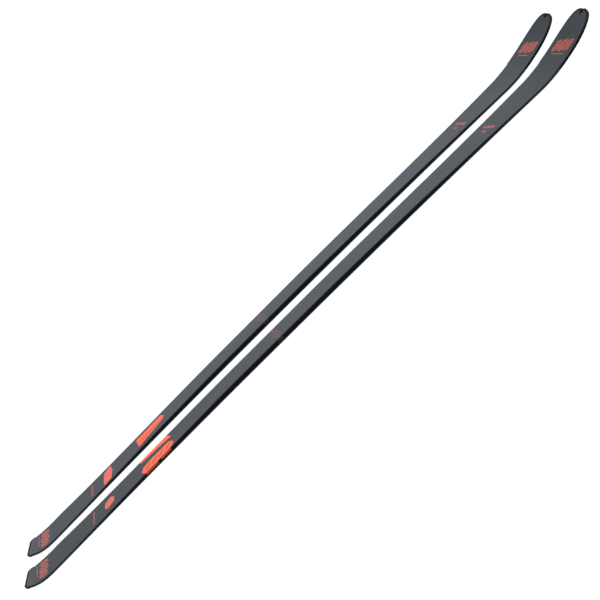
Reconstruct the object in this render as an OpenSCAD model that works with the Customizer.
// A matched pair of light touring skis, lying flat side by side with their tips towards +X.
// Each ski is a pressed sandwich: base and steel edges, lower laminate, wood core between
// sidewalls, upper laminate and topsheet, with a guard at the tip and at the tail.
// The origin is under the middle of the pair, on the surface that the skis lie on.

/* [Outline] */
// Length of one ski along the snow, tail end to tip end
ski_length = 1770; // [1560:10:1840]
// Width at the waist, the narrowest place
waist_width = 73; // [68:0.5:84]
// Width that the sidecut reaches where the tip's rounding starts
shovel_width = 110.8; // [100:0.2:124]
// Width that the sidecut reaches near the tail
tail_width = 107; // [94:0.5:114]
// Radius of the tail's rounded corners
tail_corner_r = 14; // [8:1:20]

/* [Side profile] */
// Height of the arch under the foot, with no load on the ski
camber = 2.4; // [0.5:0.1:5]
// Height of the tip's underside above the snow
tip_rise = 42; // [20:1:60]
// Height of the tail end's underside above the snow
tail_rise = 13; // [3:1:18]
// Thickness under the foot
waist_thickness = 12.3; // [10.5:0.1:14]
// Thickness at the tip
tip_thickness = 4.8; // [4.6:0.1:6]
// Thickness at the tail end
tail_thickness = 4.6; // [4.5:0.1:6]
// Length of each patch of the base that lies flat on the snow
contact_length = 30; // [10:5:60]
// Length of the level zone under the foot that takes the binding
binding_zone = 240; // [200:10:320]

/* [Layers] */
// Thickness of the running base
base_t = 1.3; // [1.1:0.1:1.4]
// Width of a steel edge where it shows beside the base
edge_w = 2; // [1.6:0.1:2.4]
// Height of a steel edge
edge_h = 1.9; // [1.8:0.1:2]
// Reach of a steel edge, with the flange that anchors it over the base
edge_reach = 6.5; // [5:0.5:8]
// Thickness of the rubber foil on each edge's flange
foil_t = 0.3; // [0.2:0.1:0.4]
// Thickness of each laminate
laminate_t = 0.5; // [0.4:0.1:0.6]
// Thickness of the topsheet
topsheet_t = 0.6; // [0.5:0.1:0.7]
// Width of a sidewall
sidewall_w = 7; // [5:0.5:9]
// Ledge of the sidewall beside the topsheet
topsheet_inset = 1.5; // [1:0.1:2.5]
// Width of the middle stringer of the core
stringer_w = 36; // [28:1:40]
// Length, width and thickness of the plate that the binding's screws bite into
plate_size = [400, 52, 0.8];

/* [Ends] */
// Width of the guards around the tip and the tail
guard_w = 5; // [3:0.5:6]
// Width of the notch in the tip that a climbing skin's hook sits in
notch_w = 6; // [5:0.5:8]
// Depth of the notch
notch_depth = 10; // [8:0.5:12]
// Wall of the tip guard around the notch
notch_wall = 3.5; // [2.5:0.5:5]

/* [Pair] */
// Distance between the two skis' centre lines
ski_spacing = 146; // [130:1:220]
// How far the right ski lies ahead of the left one
stagger = 21; // [0:1:60]

/* [Hidden] */
// places along the ski, measured from its tail end
waist_x = 0.47 * ski_length;
shovel_x = 0.93 * ski_length;
tail_wide_x = 0.05 * ski_length;
tail_taper_x = 0.1 * ski_length;
rear_flat_start = 0.05 * ski_length - contact_length / 2;
rear_flat_end = rear_flat_start + contact_length;
front_flat_start = 0.89 * ski_length - contact_length / 2;
front_flat_end = front_flat_start + contact_length;
foot_x = (rear_flat_end + front_flat_start) / 2;
zone_start = foot_x - binding_zone / 2;
zone_end = foot_x + binding_zone / 2;
core_rear = 0.035 * ski_length;
core_front = 0.9 * ski_length;

// exponents of the curves: how late each one bends away from straight
sidecut_front_power = 3.1;
sidecut_rear_power = 2.5;
tip_rise_power = 1.7;
tail_rise_power = 2.1;
tip_round_power = 2.9;
tip_corner_power = 3.1;
tail_taper_power = 4;
tail_overrun = 17;          // the tail's taper aims this far past the tail end
blend_r = 0.8;              // softness of the joins between the outline's curves
end_margin = 1;             // the end curves start this much wider than the sidecut
fade = 0.93;                // part of each half in which the thickness runs out

// heights in the sandwich, above the base's underside and below the topsheet's face
foil_bottom = edge_h;
laminate_bottom = edge_h + foil_t;
laminate_top = laminate_bottom + laminate_t;
skin_t = topsheet_t + laminate_t;

big = 400;                  // wider and taller than a ski
tiny = 0.001;

SKIS = ["left", "right"];
PIECES = [
    "base", "steel_edge_inner", "steel_edge_outer", "edge_foil_inner", "edge_foil_outer",
    "lower_laminate", "tail_spacer", "core_middle_stringer", "core_inner_stringer",
    "core_outer_stringer", "tip_spacer", "sidewall_inner", "sidewall_outer",
    "binding_plate", "upper_laminate", "topsheet", "tip_guard", "tail_guard"
];

function unit(v) = max(0, min(1, v));
function soft_min(a, b) = (a + b - sqrt(pow(a - b, 2) + pow(blend_r, 2))) / 2;

// Half the width of the sidecut: narrowest at the waist, flaring to the shovel and the tail
function sidecut(x) = waist_width / 2 + (x > waist_x
    ? (shovel_width - waist_width) / 2 * pow((x - waist_x) / (shovel_x - waist_x), sidecut_front_power)
    : (tail_width - waist_width) / 2 * pow((waist_x - x) / (waist_x - tail_wide_x), sidecut_rear_power));

// Half the width of the rounded tip and of the tapered tail, held in from the edge by
// side and from the end by end
function tip_curve(x, end) = (shovel_width / 2 + end_margin - end) * pow(
    1 - pow(unit((x - shovel_x) / (ski_length - end - shovel_x)), tip_round_power), 1 / tip_corner_power);
function tail_curve(x, side, end) = (tail_width / 2 + end_margin - side) * sqrt(
    1 - pow(unit((tail_taper_x + end - x) / (tail_taper_x + tail_overrun)), tail_taper_power));
function free_half(x, side, end) = soft_min(
    soft_min(sidecut(x) - side, tip_curve(x, end)), tail_curve(x, side, end));

// Half the ski's width at x, with the tail's corners rounded
function half_width(x, side = 0, end = 0) = let (r = tail_corner_r - end)
    x >= ski_length - end - tiny ? 0
    : x >= tail_corner_r ? free_half(x, side, end)
    : free_half(tail_corner_r, side, end) - r + sqrt(max(0, pow(r, 2) - pow(tail_corner_r - x, 2)));

// Height of the base's underside: tail kick, flat, camber, flat, tip
function under_z(x) =
    x < rear_flat_start ? tail_rise * pow(1 - x / rear_flat_start, tail_rise_power)
    : x < rear_flat_end ? 0
    : x < front_flat_start ? camber * pow(1 - pow((x - foot_x) / (foot_x - rear_flat_end), 2), 2)
    : x < front_flat_end ? 0
    : tip_rise * pow((x - front_flat_end) / (ski_length - front_flat_end), tip_rise_power);

// Thickness away from the binding zone, running out to the tip and the tail
function thickness(x) = let (
        room = (x < foot_x ? zone_start : ski_length - zone_end) * fade,
        out = unit((abs(x - foot_x) - binding_zone / 2) / room),
        end_t = x < foot_x ? tail_thickness : tip_thickness)
    end_t + (waist_thickness - end_t) * pow(cos(90 * out), 2);

// Height of the topsheet's face, level through the binding zone
function top_z(x) = abs(x - foot_x) <= binding_zone / 2 + tiny
    ? under_z(zone_end) + waist_thickness : under_z(x) + thickness(x);

function above(d) = function(x) under_z(x) + d;
function below(d) = function(x) top_z(x) - d;

// The stations that every profile is cut at: round corner, kick, camber, shovel and tip
function spread(from, to, steps) = [for (i = [1:steps]) from + (to - from) * i / steps];
function stations(end = 0) = concat(
    [for (i = [0:5]) end + (tail_corner_r - end) * (1 - cos(18 * i))],
    spread(tail_corner_r, rear_flat_start, 4),
    [rear_flat_end],
    spread(rear_flat_end, zone_start, 18),
    [zone_end],
    spread(zone_end, front_flat_start, 18),
    [front_flat_end],
    spread(front_flat_end, shovel_x, 4),
    [for (i = [1:18]) shovel_x + (ski_length - end - shovel_x) * sin(5 * i)]
);

// Plan outline of the whole ski, or of what is left inside its guards and ledges
module plan(side = 0, end = 0) {
    xs = stations(end);
    polygon(concat(
        [for (x = xs) [x, half_width(x, side, end)]],
        [for (i = [len(xs) - 1:-1:0]) [xs[i], -half_width(xs[i], side, end)]]));
}

// Plan of a strip along one edge, between two distances in from it, clear of the guards
module edge_strip(near, far) {
    xs = [for (x = stations()) if (x > tail_corner_r - tiny && x < shovel_x + tiny) x];
    polygon(concat(
        [for (x = xs) [x, half_width(x) - near]],
        [for (i = [len(xs) - 1:-1:0]) [xs[i], half_width(xs[i]) - far]]));
}
module both_sides() { children(); mirror([0, 1]) children(); }

// Plan of the part of the ski between two places along it
module between(from, to) { translate([from, -big / 2]) square([to - from, big]); }

// Plan of the pad and of the notch at the end of the tip, each a slot with a round end
module tip_slot(width, depth) {
    translate([ski_length - depth + width / 2, 0]) {
        circle(d = width, $fn = 48);
        translate([0, -width / 2]) square([depth, width]);
    }
}
module tip_notch() { tip_slot(notch_w, notch_depth); }
module tip_pad() { tip_slot(notch_w + 2 * notch_wall, notch_depth + notch_wall); }

// Plan of the topsheet, of the guards around it, and of everything between the guards
module top_plan() {
    difference() { plan(topsheet_inset, guard_w); tip_pad(); }
}
module guard_plan(from, to) {
    difference() {
        intersection() { plan(); between(from, to); }
        top_plan();
    }
}
module inside_guards() {
    difference() {
        plan();
        guard_plan(-big, tail_corner_r);
        guard_plan(shovel_x, ski_length + big);
    }
}

// A layer of the sandwich: the plan given as its child, between two heights that follow the ski
module layer(low, high) {
    xs = stations();
    intersection() {
        linear_extrude(height = big) children();
        rotate([90, 0, 0]) linear_extrude(height = big, center = true)
            polygon(concat(
                [for (x = xs) [x, low(x)]],
                [for (i = [len(xs) - 1:-1:0]) [xs[i], high(xs[i])]]));
    }
}

// Sintered running base, between the steel edges and out to the ends
module base() {
    color("#17181a") layer(above(0), above(base_t)) difference() {
        plan();
        both_sides() edge_strip(0, edge_w);
        tip_notch();
    }
}

// Steel edge: the bar that shows, and the flange that reaches in over the base
module steel_edge() {
    color("#6f7378") union() {
        layer(above(0), above(edge_h)) edge_strip(0, edge_w);
        layer(above(base_t), above(edge_h)) edge_strip(edge_w, edge_reach);
    }
}

// Rubber foil that bonds the steel edge to the laminate
module edge_foil() {
    color("#26221f") layer(above(foil_bottom), above(laminate_bottom)) edge_strip(0, edge_reach);
}

// Lower glass laminate, filling in between the edges' flanges
module lower_laminate() {
    color("#b9b48c") union() {
        layer(above(laminate_bottom), above(laminate_top)) inside_guards();
        layer(above(base_t), above(laminate_bottom)) difference() {
            inside_guards();
            both_sides() edge_strip(0, edge_reach);
        }
    }
}

// Space between the laminates, and the parts of it that the pieces of the core fill
module core_layer() { layer(above(laminate_top), below(skin_t)) children(); }
module inside_sidewalls() {
    difference() {
        inside_guards();
        both_sides() edge_strip(0, sidewall_w);
    }
}
module plate_plan() {
    translate([foot_x - plate_size.x / 2, -plate_size.y / 2]) square([plate_size.x, plate_size.y]);
}
module plate_layer() { layer(below(skin_t + plate_size.z), below(skin_t)) children(); }

// Wood stringer of the core between two distances from the ski's centre line
module stringer(from, to) {
    difference() {
        core_layer() intersection() {
            inside_sidewalls();
            between(core_rear, core_front);
            translate([0, from]) square([ski_length, to - from]);
        }
        plate_layer() plate_plan();
    }
}
module core_middle_stringer() { color("#d9bd8b") stringer(-stringer_w / 2, stringer_w / 2); }
module core_side_stringer() { color("#c9a66b") stringer(stringer_w / 2, big); }

// Plastic fillers that carry the sandwich on past the ends of the wood
module tip_spacer() {
    color("#3a3c3f") core_layer() intersection() {
        inside_sidewalls();
        between(core_front, ski_length);
    }
}
module tail_spacer() {
    color("#3a3c3f") core_layer() intersection() {
        inside_sidewalls();
        between(0, core_rear);
    }
}

// Sidewall beside the core
module sidewall() { color("#101112") core_layer() edge_strip(0, sidewall_w); }

// Plate under the foot that the binding's screws bite into
module binding_plate() { color("#a9adb2") plate_layer() plate_plan(); }

// Upper glass laminate and the topsheet on it
module upper_laminate() {
    color("#b9b48c") layer(below(skin_t), below(topsheet_t)) top_plan();
}
module topsheet() { color("#5c6167") layer(below(topsheet_t), below(0)) top_plan(); }

// Guards that close the sandwich at the tip and at the tail
module tip_guard() {
    color("#0e0f10") layer(above(base_t), below(0)) difference() {
        guard_plan(shovel_x, ski_length + big);
        tip_notch();
    }
}
module tail_guard() {
    color("#0e0f10") layer(above(base_t), below(0)) guard_plan(-big, tail_corner_r);
}

// A ski in its place: the left one to +Y, the right one to -Y and ahead by the stagger.
// Each is drawn with its outer side to +Y, so the right one is mirrored.
module place(ski) {
    ahead = ski == "left" ? 0 : stagger;
    outward = ski == "left" ? 0 : 1;
    mirror([0, outward, 0])
        translate([ahead - (ski_length + stagger) / 2, ski_spacing / 2, 0]) children();
}
module inner() { mirror([0, 1, 0]) children(); }

for (ski = SKIS) place(ski) {
    base();
    inner() steel_edge();
    steel_edge();
    inner() edge_foil();
    edge_foil();
    lower_laminate();
    tail_spacer();
    core_middle_stringer();
    inner() core_side_stringer();
    core_side_stringer();
    tip_spacer();
    inner() sidewall();
    sidewall();
    binding_plate();
    upper_laminate();
    topsheet();
    tip_guard();
    tail_guard();
}
